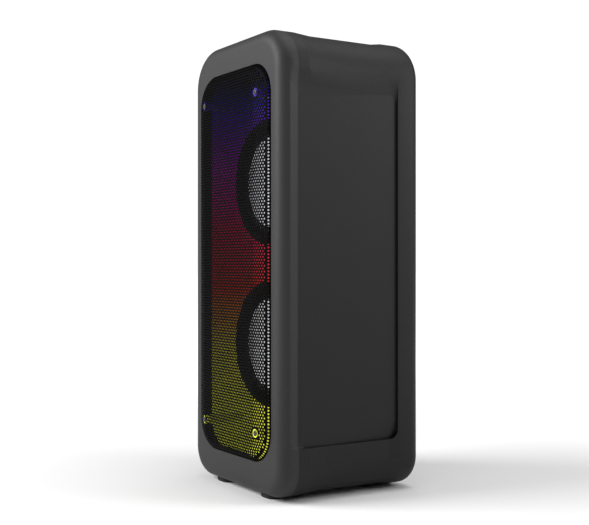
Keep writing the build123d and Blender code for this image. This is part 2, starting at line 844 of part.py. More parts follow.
def cabinet_screws():
    """Long screws through the cabinet's bosses into the back of the baffle."""
    screws = Part()
    for x, rise in cabinet_boss_places():
        shank = rod(screw_radius, cabinet_screw_depth - cabinet_screw_length, cabinet_screw_depth, rise, x)
        head = rod(screw_head_radius, cabinet_screw_depth, cabinet_screw_depth + screw_head, rise, x)
        screws += shank + head
    return screws


# ---- Bass port ----
def bass_port():
    """Reflex tube flared at its mouth, with a flange let into the back of the cabinet."""
    outer = port_radius + port_wall
    mouth = port_radius + port_flare
    end = body_depth
    tube = [
        Line((port_radius, end - port_length), (outer, end - port_length)),
        Line((outer, end - port_length), (outer, end - port_flare)),
        RadiusArc((outer, end - port_flare), (mouth, end - port_wall), port_flare - port_wall),
        Line((mouth, end - port_wall), (port_flange_radius, end - port_wall)),
        Line((port_flange_radius, end - port_wall), (port_flange_radius, end)),
        Line((port_flange_radius, end), (mouth, end)),
        RadiusArc((mouth, end), (port_radius, end - port_flare), -port_flare),
        Line((port_radius, end - port_flare), (port_radius, end - port_length)),
    ]
    return Pos(0, depth_y(0), rise_z(0)) * revolve(make_face(Curve() + tube), Axis.Y)


# ---- Grip ----
def grip_outline(grow=0.0):
    return RectangleRounded(grip_width + 2 * grow, grip_height + 2 * grow, grip_corner + grow)


def grip_cup():
    """Moulded hand pocket near the top of the back, undercut upwards so that fingers can hook behind its edge."""
    mouth = body_depth - grip_flange_thickness
    bottom = body_depth - grip_depth
    rise = grip_rise + grip_undercut / 2
    height = grip_height + grip_undercut
    back = inner_rear - 0.5
    outer = RectangleRounded(grip_width + 2 * grip_wall, height + 2 * grip_wall, grip_corner + grip_wall)
    cup = slab(outer, bottom - grip_wall, back, rise)
    cup += slab(grip_outline(grip_wall), back - 1, body_depth, grip_rise)
    cup += slab(grip_outline(grip_flange), mouth, body_depth, grip_rise)
    hollow = slab(RectangleRounded(grip_width, height, grip_corner), bottom, back - grip_wall, rise)
    hollow = fillet(front_edges(hollow), 8)
    return cup - hollow - slab(grip_outline(), bottom + 10, body_depth + 1, grip_rise)


# ---- Connection panel ----
jack_places = {"mic_socket_1": (-52.0, 20.0), "mic_socket_2": (-26.0, 20.0)}
aux_place = (0.0, 20.0)
usb_place = (32.0, 20.0)
inlet_place = (36.0, -20.0)


def panel_place(place):
    """(x, rise) of a socket, from its place on the panel as seen from behind."""
    return -place[0], panel_rise + place[1]


def connection_panel():
    plate = slab(
        RectangleRounded(panel_width, panel_height, panel_corner), body_depth - panel_thickness, body_depth, panel_rise
    )
    cut = (body_depth - panel_thickness - 1, body_depth + 1)
    for place in jack_places.values():
        x, rise = panel_place(place)
        plate -= rod(jack_radius + jack_wall + socket_gap, *cut, rise, x)
    x, rise = panel_place(aux_place)
    plate -= rod(aux_radius + jack_wall + socket_gap, *cut, rise, x)
    x, rise = panel_place(usb_place)
    plate -= slab(Rectangle(usb_width + 2 * socket_gap, usb_height + 2 * socket_gap), *cut, rise, x)
    x, rise = panel_place(inlet_place)
    plate -= slab(Rectangle(inlet_width + 2 * socket_gap, inlet_height + 2 * socket_gap), *cut, rise, x)
    return plate


def round_socket(place, radius, length):
    """A jack socket whose barrel is flush with the panel, on a square body that stands on the main board."""
    x, rise = panel_place(place)
    barrel = rod(radius + jack_wall, body_depth - length - 2, body_depth, rise, x)
    block_start = body_depth - panel_thickness - board_depth_gap
    side = 2 * (radius + jack_wall) + socket_block
    block = slab(Rectangle(side, side), block_start, body_depth - panel_thickness - 3, rise, x)
    return barrel + block - rod(radius, body_depth - length, body_depth + 1, rise, x)


def usb_socket():
    x, rise = panel_place(usb_place)
    start = body_depth - panel_thickness - board_depth_gap
    shell = slab(Rectangle(usb_width, usb_height), start, body_depth, rise, x)
    inside = Rectangle(usb_width - 2 * usb_sheet, usb_height - 2 * usb_sheet)
    shell -= slab(inside, body_depth - usb_length, body_depth + 1, rise, x)
    tongue = Rectangle(usb_tongue_width, usb_tongue)
    tongue = slab(tongue, body_depth - usb_length - 1, body_depth - 1.5, rise + usb_tongue_raise, x)
    return shell + tongue


def power_inlet():
    """Two-pin mains inlet: a figure-of-eight well with a pair of round pins."""
    x, rise = panel_place(inlet_place)
    start = body_depth - panel_thickness - board_depth_gap
    body = slab(Rectangle(inlet_width, inlet_height), start, body_depth, rise, x)
    well = SlotOverall(inlet_width - 2 * inlet_side_wall, inlet_height - 2 * inlet_end_wall)
    body -= slab(well, body_depth - inlet_length, body_depth + 1, rise, x)
    for side in (1, -1):
        pin_x = x + side * inlet_pin_spacing / 2
        body += rod(inlet_pin_radius, body_depth - inlet_length - 1, body_depth - 7, rise, pin_x)
    return body


def main_board():
    back = body_depth - panel_thickness - board_depth_gap
    board = RectangleRounded(panel_width - 4, panel_height + board_extra, 3)
    return slab(board, back - board_thickness, back, panel_rise + board_raise)


def heat_sink():
    """Finned extrusion on the front face of the main board."""
    width, depth, height = sink_size
    start = body_depth - panel_thickness - board_depth_gap - board_thickness
    rise = panel_rise + sink_raise
    sink = slab(Rectangle(width, height), start - sink_base, start, rise)
    for i in range(sink_fins):
        x = (i - (sink_fins - 1) / 2) * (width - sink_fin) / (sink_fins - 1)
        sink += slab(Rectangle(sink_fin, height), start - depth, start - sink_base, rise, x)
    return sink


def capacitors():
    start = body_depth - panel_thickness - board_depth_gap - board_thickness
    cans = Part()
    for x in (-capacitor_x, capacitor_x):
        for radius, length, raised in capacitor_cans:
            cans += rod(radius, start - length, start, panel_rise + raised, x)
    return cans


# ---- Control panel ----
def key_places():
    return {
        name: (i - (key_count - 1) / 2) * key_pitch
        for i, name in enumerate(key_names)
    }


def upright_rod(x, radius, low_z, high_z):
    return Pos(x, depth_y(control_centre), low_z) * extrude(Circle(radius), amount=high_z - low_z)


def control_panel():
    plate = top_plate(control_width, control_depth, control_corner, top_z - control_thickness, top_z)
    for side in (1, -1):
        for end in (1, -1):
            x = side * (control_width / 2 - control_lip - control_post_inset)
            y = depth_y(control_centre) + end * (control_depth / 2 - control_lip - control_post_inset + 1)
            post = extrude(Circle(control_post_radius), amount=top_z - control_thickness - board_top_z())
            plate += Pos(x, y, board_top_z()) * post
    for x in key_places().values():
        plate -= upright_rod(x, key_radius + key_gap, top_z - control_thickness - 1, top_z + 1)
    return plate


def board_top_z():
    rim_bottom = top_z - control_thickness - key_slack - key_rim_thickness
    return rim_bottom - key_stem_length - key_travel - switch_slack - switch_height


def key(x):
    """A round key held under the panel by its rim, with a stem that presses a switch on the board."""
    rim_top = top_z - control_thickness - key_slack
    cap = upright_rod(x, key_radius, rim_top - 0.5, top_z + key_stand)
    cap = fillet(cap.faces().sort_by(Axis.Z)[-1].edges(), key_edge_radius)
    rim = upright_rod(x, key_radius + key_rim, rim_top - key_rim_thickness, rim_top)
    stem_low = rim_top - key_rim_thickness - key_stem_length
    return cap + rim + upright_rod(x, key_stem_radius, stem_low, rim_top)


def control_board():
    """The board under the keys with a switch below each of them."""
    high = board_top_z()
    board = top_plate(control_width - 2 * control_lip - 4, control_depth - 2 * control_lip - 3, 4, high - 1.6, high)
    for x in key_places().values():
        base = Pos(x, depth_y(control_centre), high + switch_height * 0.35) * Box(
            switch_width, switch_width, switch_height * 0.7
        )
        board += base + upright_rod(x, switch_plunger_radius, high, high + switch_height)
    return board


# ---- Battery ----
def battery_floor_z():
    return rise_z(-rear_cavity_height / 2)


def battery_pack():
    width, depth, height = battery_size
    block = Box(width, depth, height, align=(Align.CENTER, Align.CENTER, Align.MIN))
    block = fillet(block.edges(), battery_corner)
    return Pos(0, battery_y(), battery_floor_z()) * block


def battery_y():
    return depth_y(ledge_depth - battery_rear_gap - battery_size[1] / 2)


def battery_bracket():
    """A bent steel strap over the pack with a foot on each side."""
    width, _, height = battery_size
    gap = battery_gap
    outer = Box(
        width + 2 * (bracket_sheet + gap), bracket_width, height + bracket_sheet + gap,
        align=(Align.CENTER, Align.CENTER, Align.MIN),
    )
    inner = Box(width + 2 * gap, bracket_width + 2, height + gap, align=(Align.CENTER, Align.CENTER, Align.MIN))
    strap = outer - inner
    for side in (1, -1):
        foot = Box(bracket_foot, bracket_width, bracket_sheet, align=(Align.CENTER, Align.CENTER, Align.MIN))
        strap += Pos(side * (width / 2 + gap + bracket_foot / 2), 0, 0) * foot
    return Pos(0, battery_y(), battery_floor_z()) * strap


def build():
    form = body_form()
    made = {
        "front_frame": front_frame(form),
        "cabinet": cabinet(form),
        "rear_panel": rear_panel(),
        "rear_screws": rear_screws(),
        "grille": grille(),
        "grille_standoffs": grille_standoffs(),
        "grille_screws": grille_screws(),
        "light_tunnel": light_tunnel(),
        "led_strip_left": led_strip(-1),
        "led_strip_right": led_strip(1),
        "baffle": baffle(),
        "baffle_gasket": baffle_gasket(),
        "frame_screws": frame_screws(),
        "cabinet_screws": cabinet_screws(),
        "bass_port": bass_port(),
        "grip_cup": grip_cup(),
        "connection_panel": connection_panel(),
        "aux_socket": round_socket(aux_place, aux_radius, aux_length),
        "usb_socket": usb_socket(),
        "power_inlet": power_inlet(),
        "main_board": main_board(),
        "heat_sink": heat_sink(),
        "capacitors": capacitors(),
        "control_panel": control_panel(),
        "control_board": control_board(),
        "battery_pack": battery_pack(),
        "battery_bracket": battery_bracket(),
    }
    made.update(feet())
    for name in woofer_rises:
        made.update(woofer(name))
    for name, place in jack_places.items():
        made[name] = round_socket(place, jack_radius, jack_length)
    for name, x in key_places().items():
        made[f"{name}_key"] = key(x)
    return made


def main():
    os.makedirs("parts", exist_ok=True)
    for name, shape in build().items():
        export_step(shape, f"parts/{name}.step")


main()
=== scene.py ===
import json
from math import ceil, copysign, cos, pi, radians, sin, sqrt

import bmesh
import bpy
from bpy.props import FloatProperty, FloatVectorProperty, IntProperty, PointerProperty
from mathutils import Matrix, Vector
from mathutils.bvhtree import BVHTree


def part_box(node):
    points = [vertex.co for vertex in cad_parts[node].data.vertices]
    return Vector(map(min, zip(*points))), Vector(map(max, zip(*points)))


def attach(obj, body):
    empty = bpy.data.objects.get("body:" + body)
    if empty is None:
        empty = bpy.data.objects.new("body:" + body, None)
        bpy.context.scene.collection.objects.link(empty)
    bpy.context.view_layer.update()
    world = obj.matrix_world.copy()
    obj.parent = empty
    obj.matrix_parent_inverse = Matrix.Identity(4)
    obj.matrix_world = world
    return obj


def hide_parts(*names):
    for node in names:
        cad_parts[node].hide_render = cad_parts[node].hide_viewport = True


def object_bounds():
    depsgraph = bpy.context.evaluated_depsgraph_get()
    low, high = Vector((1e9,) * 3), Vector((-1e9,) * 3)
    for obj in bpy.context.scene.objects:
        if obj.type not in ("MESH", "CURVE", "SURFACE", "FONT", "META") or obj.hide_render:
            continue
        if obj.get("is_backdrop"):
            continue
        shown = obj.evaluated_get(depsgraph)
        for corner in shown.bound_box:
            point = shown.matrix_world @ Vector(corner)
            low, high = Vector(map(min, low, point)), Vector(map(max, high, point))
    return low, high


bl_info = {
    "name": "Party Speaker",
    "version": (1, 0, 0),
    "blender": (4, 5, 0),
    "location": "3D View > Sidebar > Speaker",
    "description": "Finishes a tall party speaker with a perforated grille over a lit tunnel",
    "category": "Object",
}

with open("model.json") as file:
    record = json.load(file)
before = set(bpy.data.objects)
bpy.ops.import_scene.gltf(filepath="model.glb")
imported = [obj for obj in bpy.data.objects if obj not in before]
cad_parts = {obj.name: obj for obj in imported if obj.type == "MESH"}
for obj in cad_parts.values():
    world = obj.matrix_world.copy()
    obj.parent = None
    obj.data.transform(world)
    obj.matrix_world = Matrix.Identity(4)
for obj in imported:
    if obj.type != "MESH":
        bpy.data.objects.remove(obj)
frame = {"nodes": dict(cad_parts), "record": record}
cad_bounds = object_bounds()

MM = 0.001
WOOFERS = ("upper_woofer", "lower_woofer")
FEET = ("foot_front_left", "foot_front_right", "foot_rear_left", "foot_rear_right")
BODY_OF = {node: body for body, nodes in frame["record"]["behaviour"]["bodies"].items() for node in nodes}
SLOT_OF = {part["node"]: part["material_slot"] for part in frame["record"]["subparts"]}


# ---- Sizes and colours ----
def length(name, description, default):
    return FloatProperty(name=name, description=description, default=default, min=0, unit="LENGTH", precision=5)


def share(name, description, default):
    return FloatProperty(name=name, description=description, default=default, min=0, max=1, subtype="FACTOR")


def strength(name, description, default):
    return FloatProperty(name=name, description=description, default=default, min=0)


def colour(name, description, default):
    return FloatVectorProperty(
        name=name, description=description, default=default, size=3, min=0, soft_max=1, subtype="COLOR"
    )


class ShellSettings(bpy.types.PropertyGroup):
    front: colour("Front", "Colour of the front frame", (0.021, 0.021, 0.0214))
    # The rear colour is the front frame's plastic painted darker: this is painted shade on the cabinet's side and
    # back.
    rear: colour("Rear", "Colour of the cabinet and the rear panel", (0.0055, 0.0055, 0.0057))
    grain: length("Grain", "Size of the grains of the moulded texture", 0.9 * MM)
    grain_depth: length("Grain depth", "Depth of the moulded texture", 0.03 * MM)
    roughness: share("Roughness", "Mean roughness of the moulded texture", 0.55)


class GrilleSettings(bpy.types.PropertyGroup):
    paint: colour("Powder coat", "Colour of the grille's coating", (0.0008, 0.0008, 0.0009))
    pitch: length("Pitch", "Distance between neighbouring holes", 4.83 * MM)
    hole: length("Hole", "Diameter of a hole", 3.0 * MM)
    sides: IntProperty(name="Sides", description="Sides of the outline of a hole", default=10, min=6, max=16)
    sheet: length("Sheet", "Thickness of the steel", 1.0 * MM)
    corner: length("Corner", "Corner radius of the sheet's outline", 47.5 * MM)
    border: length("Border", "Distance from the edge to the row of holes along it", 2.7 * MM)
    margin: length("Margin", "Least distance from the edge to the middle of any other hole", 7.4 * MM)
    fixing: length("Fixing", "Radius of the opening round each fixing", 6.4 * MM)
    flange: length("Flange", "Depth of the flange round the sheet", 7.8 * MM)


class GlowSettings(bpy.types.PropertyGroup):
    tunnel: strength("Tunnel", "Brightness of the lit tunnel", 0.55)
    cone: strength("Cones", "Brightness of the white light on the cones", 0.4)
    post: strength("Posts", "Brightness of the clear posts", 0.55)
    top: colour("Top", "Light at the top", (0.02, 0.0, 0.55))
    high: colour("High", "Light above the upper cone", (0.2, 0.0, 0.55))
    upper: colour("Upper", "Light across the upper cone's top half", (0.52, 0.0, 0.55))
    over_middle: colour("Over the middle", "Light across the upper cone's lower half", (0.82, 0.0, 0.10))
    middle: colour("Middle", "Light between the cones", (0.85, 0.03, 0.0))
    under_middle: colour("Under the middle", "Light at the top of the lower cone", (0.85, 0.32, 0.02))
    lower: colour("Lower", "Light across the lower cone", (1.05, 0.92, 0.07))
    bottom: colour("Bottom", "Light at the bottom", (1.25, 1.3, 0.09))


class KeySettings(bpy.types.PropertyGroup):
    line: length("Line", "Width of the lines of a symbol", 0.55 * MM)
    raised: length("Raised", "Height of a symbol above its key", 0.12 * MM)
    paint: colour("Print", "Colour of the symbols", (0.42, 0.43, 0.45))


class StageSettings(bpy.types.PropertyGroup):
    aside: length("Aside", "Distance from the centre plane to the camera", 1383.5 * MM)
    ahead: length("Ahead", "Distance from the middle of the body forwards to the camera", 867.5 * MM)
    azimuth: FloatProperty(
        name="Azimuth", description="How far the camera is turned to the left of straight back",
        default=radians(58.24), subtype="ANGLE",
    )
    lens: strength("Lens", "Focal length in millimetres", 63.75)
    rise: FloatProperty(name="Rise", description="Upward shift of the picture", default=0.0034)
    floor: colour("Floor", "Colour of the floor", (0.9, 0.9, 0.9))
    floor_size: length("Floor size", "Side of the floor", 60)
    glow: strength("Floor glow", "Light from the far floor, which keeps it white to the horizon", 1.0)
    glow_start: length("Glow start", "Distance at which the floor's light begins", 0.4)
    glow_full: length("Glow full", "Distance at which it is full", 2.2)


SETTINGS = {
    "speaker_shell": ShellSettings,
    "speaker_grille": GrilleSettings,
    "speaker_glow": GlowSettings,
    "speaker_keys": KeySettings,
    "speaker_stage": StageSettings,
}


def settings(name):
    return getattr(bpy.context.scene, f"speaker_{name}")


# ---- Shader arithmetic ----
class Number:
    """A number or colour that varies over a surface. Arithmetic on a number adds Math nodes."""

    def __init__(self, finish, socket):
        self.finish = finish
        self.socket = socket

    def math(self, operation, *values):
        return self.finish.add("ShaderNodeMath", {"operation": operation}, *values)["Value"]

    def __add__(self, other):
        return self.math("ADD", self, other)

    def __radd__(self, other):
        return self.math("ADD", other, self)

    def __sub__(self, other):
        return self.math("SUBTRACT", self, other)

    def __rsub__(self, other):
        return self.math("SUBTRACT", other, self)

    def __mul__(self, other):
        return self.math("MULTIPLY", self, other)

    def __rmul__(self, other):
        return self.math("MULTIPLY", other, self)

    def over(self, low, high):
        """0 where this is under low, 1 where it is over high, and a smooth step between."""
        choices = {"interpolation_type": "SMOOTHSTEP", "clamp": True}
        return self.finish.add("ShaderNodeMapRange", choices, self, low, high, 0.0, 1.0)["Result"]


class Finish:
    """One material with its nodes."""

    def __init__(self, name):
        self.material = bpy.data.materials.new(name)
        self.material.use_nodes = True
        self.tree = self.material.node_tree
        self.tree.nodes.clear()
        self.place = self.add("ShaderNodeTexCoord", {})["Object"]

    def add(self, kind, choices, *values, **named):
        """A node with its choices set first, then the values or links of its sockets. Returns its outputs."""
        node = self.tree.nodes.new(kind)
        for key, value in choices.items():
            if key == "stops":
                self.set_stops(node.color_ramp, value)
            else:
                setattr(node, key, value)
        for socket, value in zip([socket for socket in node.inputs if socket.enabled], values):
            self.feed(socket, value)
        for name, value in named.items():
            self.feed(node.inputs[name.replace("_", " ")], value)
        return {socket.name: Number(self, socket) for socket in node.outputs if socket.enabled}

    def feed(self, socket, value):
        if isinstance(value, Number):
            self.tree.links.new(value.socket, socket)
        elif isinstance(value, (int, float)):
            socket.default_value = value
        else:
            spare = len(socket.default_value) - len(value)
            socket.default_value = (*value, *[1.0] * spare)

    def set_stops(self, ramp, stops):
        while len(ramp.elements) < len(stops):
            ramp.elements.new(1.0)
        for element, (position, value) in zip(ramp.elements, stops):
            element.position = position
            element.color = (*value, 1.0)

    def centred(self, centre):
        """Object coordinates measured from a point."""
        return self.add("ShaderNodeMapping", {}, self.place, tuple(-value for value in centre))["Vector"]

    def noise(self, size, detail=2.0, stretch=(1, 1, 1)):
        """Noise from 0 to 1 whose blotches are about this size across."""
        scale = tuple(value / size for value in stretch)
        place = self.add("ShaderNodeMapping", {}, self.place, (0, 0, 0), (0, 0, 0), scale)["Vector"]
        return self.add("ShaderNodeTexNoise", {}, place, 1.0, detail)["Fac"]

    def axes(self):
        """The three parts of the object coordinates as numbers."""
        parts = self.add("ShaderNodeSeparateXYZ", {}, self.place)
        return parts["X"], parts["Y"], parts["Z"]

    def blend(self, amount, first, second):
        return self.add("ShaderNodeMix", {"data_type": "RGBA"}, amount, first, second)["Result"]

    def shade(self, paint, amount):
        """A colour made darker or lighter by an amount that varies."""
        return self.add("ShaderNodeVectorMath", {"operation": "SCALE"}, Vector=paint, Scale=amount)["Vector"]

    def bump(self, height, depth):
        """A normal from a height that runs from 0 to 1 over this depth."""
        return self.add("ShaderNodeBump", {}, Distance=depth, Height=height)["Normal"]

    def close(self, **sockets):
        """The Principled shader and the output. Returns the material."""
        shader = self.add("ShaderNodeBsdfPrincipled", {}, **sockets)["BSDF"]
        self.add("ShaderNodeOutputMaterial", {}, Surface=shader)
        return self.material


# ---- Finishes ----
GRAIN_ROUGHNESS = 0.14       # how much the roughness varies with the grains
BLOTCH_ROUGHNESS = 0.08      # and with the blotches
BLOTCH_GRAINS = 60           # the size of a blotch in grains


def texture_finish(
    name, paint, roughness, grain, depth, mottle=0.15, specular=0.5, metal=0.0, stretch=(1, 1, 1)
):
    """A moulded, painted or plated surface: fine grains, faint mottling, and a roughness that follows both."""
    finish = Finish(name)
    grains = finish.noise(grain, 2.0, stretch)
    blotch = finish.noise(BLOTCH_GRAINS * grain, 3.0)
    return finish.close(
        Base_Color=finish.shade(paint, 1.0 + (blotch - 0.5) * mottle + (grains - 0.5) * mottle),
        Roughness=roughness + (grains - 0.5) * GRAIN_ROUGHNESS + (blotch - 0.5) * BLOTCH_ROUGHNESS,
        Metallic=metal,
        Specular_IOR_Level=specular,
        Normal=finish.bump(grains, depth),
    )


def shell_finish(name, plastic):
    """Fine-textured black polymer, faintly cloudy as large mouldings are."""
    shell = settings("shell")
    finish = Finish(name)
    grains = finish.noise(shell.grain, 2.0)
    pits = finish.noise(shell.grain * 3.1, 1.0)
    cloud = finish.noise(90 * MM, 3.0)
    return finish.close(
        Base_Color=finish.shade(plastic, 1.0 + (grains - 0.5) * 0.2 + (cloud - 0.5) * 0.12),
        Roughness=shell.roughness + (pits - 0.5) * 0.16 + (cloud - 0.5) * BLOTCH_ROUGHNESS,
        Specular_IOR_Level=0.28,
        Normal=finish.bump(grains * 0.7 + pits * 0.3, shell.grain_depth),
    )


# No lamps stand in the tunnel's rounded corners, so the light fades between these shares of its height.
BOTTOM_FADE = (-0.08, 0.0)
TOP_FADE = (0.9, 1.0)


def light_tint(finish, brightness):
    """The colour of the lamps at each height, from blue at the top to yellow at the bottom."""
    glow = settings("glow")
    low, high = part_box("light_tunnel")
    way = (finish.axes()[2] - low.z) * (1 / (high.z - low.z))
    stops = [
        (0.08, glow.bottom), (0.26, glow.lower), (0.35, glow.under_middle), (0.43, glow.middle),
        (0.60, glow.over_middle), (0.76, glow.upper), (0.84, glow.high), (0.93, glow.top),
    ]
    stops = [(position, tuple(value)) for position, value in stops]
    tint = finish.add("ShaderNodeValToRGB", {"stops": stops}, way)["Color"]
    ends = way.over(*BOTTOM_FADE) * (1.0 - way.over(*TOP_FADE))
    return finish.shade(tint, ends * brightness)


def tunnel_finish():
    """White diffuser with the lamps' light in it."""
    finish = Finish("lit diffuser")
    cloud = finish.noise(30 * MM, 2.0)
    grain = finish.noise(0.6 * MM, 1.0)
    return finish.close(
        Base_Color=finish.shade((0.012, 0.0123, 0.013), 0.92 + cloud * 0.12),
        Roughness=0.42 + (grain - 0.5) * 0.1,
        Emission_Color=light_tint(finish, 0.85 + cloud * 0.3),
        Emission_Strength=settings("glow").tunnel,
        Normal=finish.bump(grain, 0.01 * MM),
    )


POST_GLOW = (1 * MM, 7 * MM)     # how far behind its end a post is at its brightest, and where that has faded


def post_finish():
    """Clear plastic that pipes the tunnel's light out to its end."""
    finish = Finish("clear post")
    swirl = finish.noise(2.5 * MM, 2.0)
    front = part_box("grille_standoffs")[0].y
    near_end = 1.0 - (finish.axes()[1] - front).over(*POST_GLOW)
    return finish.close(
        Base_Color=finish.shade((0.1, 0.104, 0.11), 0.85 + swirl * 0.3),
        Roughness=0.12 + swirl * 0.1,
        Emission_Color=light_tint(finish, (0.6 + near_end * 0.9) * (0.7 + swirl * 0.6)),
        Emission_Strength=settings("glow").post,
    )


CONE_LIGHT = (0.85, 0.89, 0.93)
RING_START = 68.6 * MM       # radius beyond which a cone is black and without the white light
RING_BLUR = 1 * MM


def cone_finish(name):
    """Pale coated pulp in white light, with faint fibres, black and unlit beyond a radius near its edge."""
    low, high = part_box(f"{name}_cone")
    middle = (low + high) / 2
    finish = Finish(f"{name} pulp")
    place = finish.centred(middle)
    across = finish.add("ShaderNodeVectorMath", {"operation": "MULTIPLY"}, place, (1, 0, 1))["Vector"]
    radius = finish.add("ShaderNodeVectorMath", {"operation": "LENGTH"}, across)["Value"]
    edge = radius.over(RING_START, RING_START + RING_BLUR)
    fibres = finish.noise(1.6 * MM, 4.0, (1, 0.35, 1))
    pulp = finish.shade((0.66, 0.67, 0.70), 0.86 + fibres * 0.22)
    lit = (1.0 - edge) * (1.25 - radius * 9.0) * (0.8 + fibres * 0.4)
    return finish.close(
        Base_Color=finish.blend(edge, pulp, (0.006, 0.006, 0.006)),
        Roughness=0.6 + (fibres - 0.5) * 0.2,
        Emission_Color=finish.shade(CONE_LIGHT, lit),
        Emission_Strength=settings("glow").cone,
        Normal=finish.bump(fibres, 0.08 * MM),
    )


def cap_finish():
    """Pale coated dust cap in the same white light."""
    finish = Finish("coated cap")
    fibres = finish.noise(1.2 * MM, 3.0)
    return finish.close(
        Base_Color=finish.shade((0.6, 0.61, 0.64), 0.88 + fibres * 0.2),
        Roughness=0.42 + (fibres - 0.5) * 0.12,
        Emission_Color=finish.shade(CONE_LIGHT, 0.3 + fibres * 0.3),
        Emission_Strength=settings("glow").cone,
        Normal=finish.bump(fibres, 0.04 * MM),
    )


def board_finish():
    """Green solder mask over faint copper areas."""
    finish = Finish("circuit board")
    areas = finish.noise(6 * MM, 0.0).over(0.48, 0.52)
    grain = finish.noise(1 * MM, 2.0)
    return finish.close(
        Base_Color=finish.blend(areas, (0.012, 0.09, 0.03), (0.02, 0.15, 0.05)),
        Roughness=0.35 + (grain - 0.5) * 0.1,
        Normal=finish.bump(areas, 0.03 * MM),
    )


def make_finishes():
    """The finish of each of the record's material slots, and of the front frame and the keys' symbols."""
    grille = settings("grille")
    return {
        # Same plastic in two tones: the cabinet's darker tone is painted shade, and the front's is the lit tone.
        "shell_plastic": shell_finish("cabinet plastic", settings("shell").rear),
        "front_plastic": shell_finish("front plastic", settings("shell").front),
        "grille_steel": texture_finish("powder coat", grille.paint, 0.6, 0.7 * MM, 0.02 * MM, 0.2, 0.03),
        "steel": texture_finish("zinc plate", (0.5, 0.51, 0.52), 0.3, 0.8 * MM, 0.01 * MM, metal=1.0),
        "black_steel": texture_finish("black oxide", (0.012, 0.012, 0.013), 0.42, 0.5 * MM, 0.01 * MM),
        "tunnel_plastic": tunnel_finish(),
        "clear_plastic": post_finish(),
        "board": board_finish(),
        "baffle_board": texture_finish("fibreboard", (0.06, 0.055, 0.05), 0.8, 1.2 * MM, 0.1 * MM, 0.5),
        "foam": texture_finish("closed-cell foam", (0.02, 0.02, 0.02), 0.9, 1.0 * MM, 0.15 * MM, 0.5),
        "rubber": texture_finish("rubber", (0.008, 0.008, 0.0085), 0.72, 1.1 * MM, 0.02 * MM, 0.2, 0.3),
        "cap_plastic": cap_finish(),
        "cloth": texture_finish("stiffened cloth", (0.4, 0.25, 0.1), 0.8, 0.8 * MM, 0.2 * MM, 0.5),
        "coil": texture_finish("coil former", (0.45, 0.2, 0.06), 0.4, 0.5 * MM, 0.05 * MM, stretch=(1, 8, 1)),
        "ferrite": texture_finish("ferrite", (0.03, 0.03, 0.032), 0.6, 0.7 * MM, 0.04 * MM, 0.4),
        "plated": texture_finish("plated iron", (0.45, 0.45, 0.47), 0.32, 0.8 * MM, 0.01 * MM, metal=1.0),
        "sink": texture_finish(
            "extruded aluminium", (0.6, 0.61, 0.62), 0.38, 0.6 * MM, 0.02 * MM, metal=1.0, stretch=(1, 1, 0.05),
        ),
        "port_plastic": texture_finish("port plastic", (0.016, 0.016, 0.0165), 0.5, 0.8 * MM, 0.02 * MM),
        "panel_plastic": texture_finish(
            "panel plastic", (0.022, 0.022, 0.0225), 0.62, 0.6 * MM, 0.02 * MM, specular=0.22,
        ),
        "key_rubber": texture_finish("key silicone", (0.02, 0.02, 0.021), 0.62, 0.9 * MM, 0.02 * MM),
        "key_print": texture_finish("key print", settings("keys").paint, 0.5, 0.4 * MM, 0.01 * MM),
        "battery_wrap": texture_finish("shrink sleeve", (0.02, 0.06, 0.2), 0.28, 3.0 * MM, 0.05 * MM),
        "can": texture_finish("sleeved cans", (0.03, 0.035, 0.06), 0.3, 1.5 * MM, 0.02 * MM),
    }


FINISHES = {}


class SPEAKER_OT_finishes(bpy.types.Operator):
    """Makes the finishes and gives the CAD pieces theirs"""
    bl_idname = "speaker.finishes"
    bl_label = "Finishes"

    def execute(self, context):
        FINISHES.update(make_finishes())
        for node, piece in frame["nodes"].items():
            if SLOT_OF[node] in FINISHES:      # a cone gets its own with its smooth copy
                for place in piece.material_slots:
                    place.material = FINISHES[SLOT_OF[node]]
        return {"FINISHED"}


# ---- Mesh helpers ----
TO_FRONT = Matrix.Rotation(pi / 2, 4, "X")
WELD = 0.002 * MM            # joins the corners of a CAD node's loose triangles
SHARP = 35                   # degrees between faces past which an edge stays sharp
SHELL_SHARP = 9              # for large flat faces with rounded edges
ROUND_SHARP = 50             # for cones, caps and keys


def finished(name, bm, body, slot, finish, sharp=SHARP):
    """The bmesh as a piece on a body, smooth except across sharp edges."""
    mesh = bpy.data.meshes.new(name)
    bm.to_mesh(mesh)
    bm.free()
    mesh.shade_smooth()
    mesh.set_sharp_from_angle(angle=radians(sharp))
    mesh.materials.append(finish)
    piece = bpy.data.objects.new(name, mesh)
    bpy.context.scene.collection.objects.link(piece)
    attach(piece, body)
    return piece


def smooth_copy(node, finish, sharp=SHARP):
    """A CAD node's own shape with its triangles joined up, so that its curves shade smoothly."""
    bm = bmesh.new()
    bm.from_mesh(frame["nodes"][node].data)
    bmesh.ops.remove_doubles(bm, verts=bm.verts, dist=WELD)
    bmesh.ops.dissolve_degenerate(bm, dist=WELD, edges=bm.edges)
    piece = finished(f"{node}_smooth", bm, BODY_OF[node], SLOT_OF[node], finish, sharp)
    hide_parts(node)
    return piece


def around(verts, kind):
    """The edges or faces at some vertices, each once, and in the same order each time."""
    return list(dict.fromkeys(item for vert in verts for item in getattr(vert, kind)))


def rounded_loop(bm, half_width, half_height, radius, step):
    """A closed loop of edges round a rounded rectangle. Returns its vertices."""
    known = set(bm.verts)
    count = 4 * max(2, ceil(radius * pi / 2 / step))
    half = pi / count
    turn = Matrix.Rotation(half, 4, "Z")
    verts = bmesh.ops.create_circle(bm, segments=count, radius=radius / cos(half), matrix=turn)["verts"]
    for vert in verts:
        vert.co.x += copysign(half_width - radius, vert.co.x)
        vert.co.y += copysign(half_height - radius, vert.co.y)
    edges = around(verts, "link_edges")
    for edge in [edge for edge in edges if edge.calc_length() > 1.5 * step]:
        bmesh.ops.subdivide_edges(bm, edges=[edge], cuts=round(edge.calc_length() / step) - 1)
    return [vert for vert in bm.verts if vert not in known]


